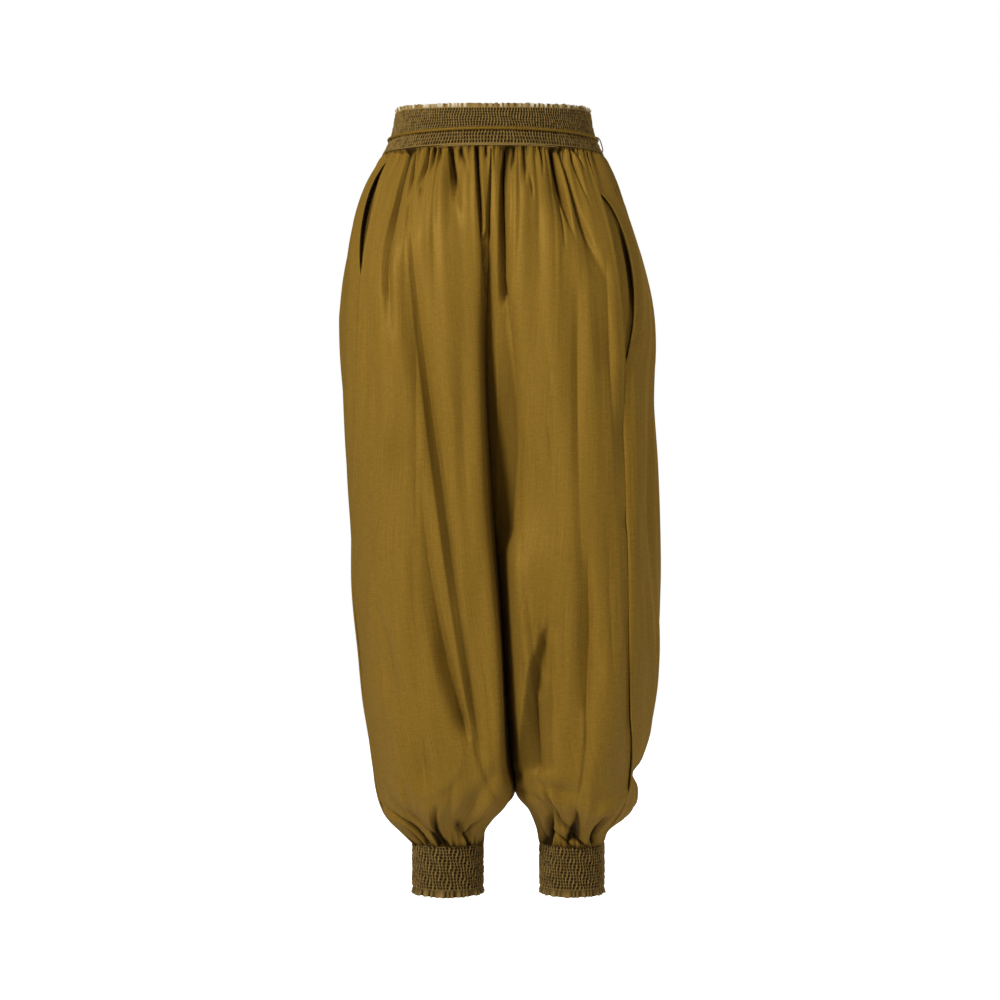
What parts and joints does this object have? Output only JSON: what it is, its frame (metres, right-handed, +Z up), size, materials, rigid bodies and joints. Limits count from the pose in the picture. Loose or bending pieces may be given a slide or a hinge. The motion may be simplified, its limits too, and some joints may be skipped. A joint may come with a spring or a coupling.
{
  "type": "harem pants",
  "caption": "Worn, hollow harem pants with a shirred waistband, full legs with a low crotch, open side pockets and shirred ankle cuffs.",
  "frame": {"origin": "middle of the waist, level with the piping between the two waistbands, where the wearer holds the garment up", "axes": "+Z up along the garment, the wearer's front faces -Y, the wearer's left is at +X"},
  "size_m": [0.4105, 0.2886, 0.996],
  "materials": {
    "silk": "soft satin",
    "shirred_silk": "shirred, soft satin"
  },
  "bodies": {
    "root": {"right_front": "silk", "right_back": "silk", "left_front": "silk", "left_back": "silk", "right_pocket_bag": "silk", "left_pocket_bag": "silk", "waistband_upper": "shirred_silk", "waistband_lower": "shirred_silk", "waist_piping": "silk", "right_cuff": "shirred_silk", "left_cuff": "shirred_silk"}
  },
  "joints": []
}
